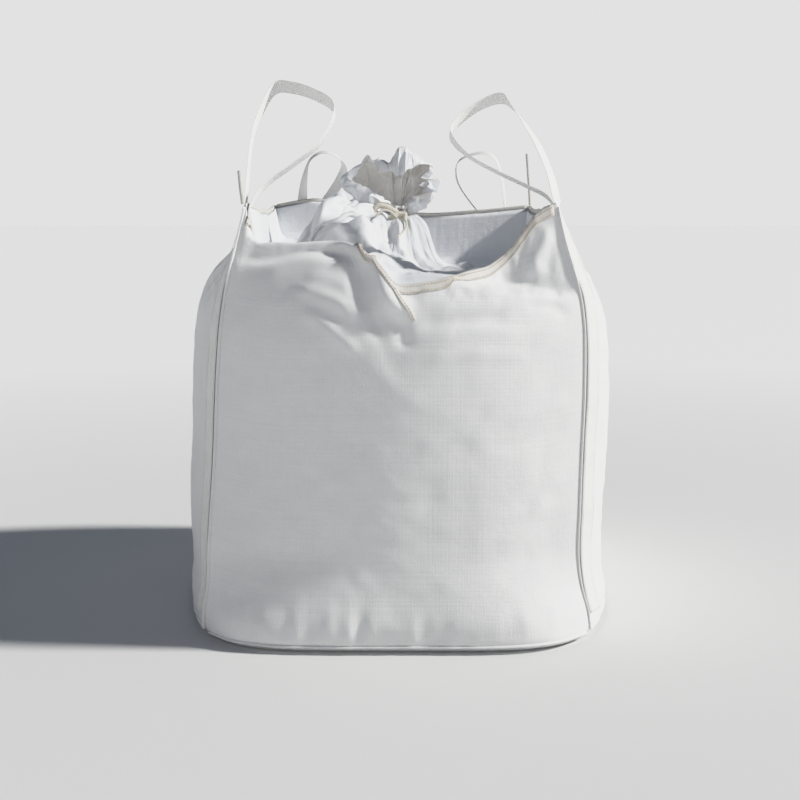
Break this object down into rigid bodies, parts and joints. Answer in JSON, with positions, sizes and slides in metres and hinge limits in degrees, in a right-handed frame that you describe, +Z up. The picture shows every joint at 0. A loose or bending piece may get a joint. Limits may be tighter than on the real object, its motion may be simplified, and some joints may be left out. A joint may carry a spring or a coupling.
{
  "type": "bulk bag",
  "caption": "Filled woven bulk bag with bulging sides, slumped open rim, tied duffle top, and webbing lifting loops at its corners.",
  "frame": {"origin": "middle of the base, on the surface that the filled bag stands on", "axes": "+Z up, -Y towards the side whose rim has slumped into a V (the front), +X to the right seen from the front"},
  "size_m": [1.1802, 1.1809, 1.4206],
  "materials": {
    "body_fabric": "satin",
    "skirt_fabric": "satin",
    "webbing": "matte",
    "hem_tape": "matte",
    "tie_cord": "matte",
    "bulk_product": "matte"
  },
  "bodies": {
    "bag": {"bulk_fill": "bulk_product", "front_panel": "body_fabric", "back_panel": "body_fabric", "left_panel": "body_fabric", "right_panel": "body_fabric", "base_panel": "body_fabric", "corner_seam_front_left": "body_fabric", "corner_seam_front_right": "body_fabric", "corner_seam_back_left": "body_fabric", "corner_seam_back_right": "body_fabric", "seam_tape_front_left": "webbing", "seam_tape_back_right": "webbing", "base_seam_front": "body_fabric", "base_seam_right": "body_fabric", "base_seam_back": "body_fabric", "base_seam_left": "body_fabric", "rim_hem_front": "hem_tape", "rim_hem_right": "hem_tape", "rim_hem_back": "hem_tape", "rim_hem_left": "hem_tape", "corner_strap_front_left": "webbing", "corner_strap_front_right": "webbing", "corner_strap_back_left": "webbing", "corner_strap_back_right": "webbing", "duffle_skirt": "skirt_fabric", "tie_band": "tie_cord", "tie_knot": "tie_cord", "tie_end_left": "tie_cord", "tie_end_right": "tie_cord"},
    "loop_front_left": {"lifting_loop_front_left": "webbing"},
    "loop_front_right": {"lifting_loop_front_right": "webbing"},
    "loop_back_left": {"lifting_loop_back_left": "webbing"},
    "loop_back_right": {"lifting_loop_back_right": "webbing"},
    "tail": {"duffle_tail": "skirt_fabric"}
  },
  "joints": [
    {"name": "loop_front_left_swing", "type": "hinge", "parent": "bag", "child": "loop_front_left", "pos_m": [-0.392, -0.375, 1.088], "axis": [0, -1, 0], "range_deg": [-8, 100]},
    {"name": "loop_front_right_swing", "type": "hinge", "parent": "bag", "child": "loop_front_right", "pos_m": [0.392, -0.375, 1.088], "axis": [0, 1, 0], "range_deg": [-8, 100]},
    {"name": "loop_back_left_swing", "type": "hinge", "parent": "bag", "child": "loop_back_left", "pos_m": [-0.337, 0.462, 0.972], "axis": [-1, 0, 0], "range_deg": [0, 85]},
    {"name": "loop_back_right_swing", "type": "hinge", "parent": "bag", "child": "loop_back_right", "pos_m": [0.337, 0.462, 0.972], "axis": [-1, 0, 0], "range_deg": [0, 85]},
    {"name": "tail_lean", "type": "hinge", "parent": "bag", "child": "tail", "pos_m": [0, 0, 1.06], "axis": [1, 0, 0], "range_deg": [-15, 15]}
  ]
}
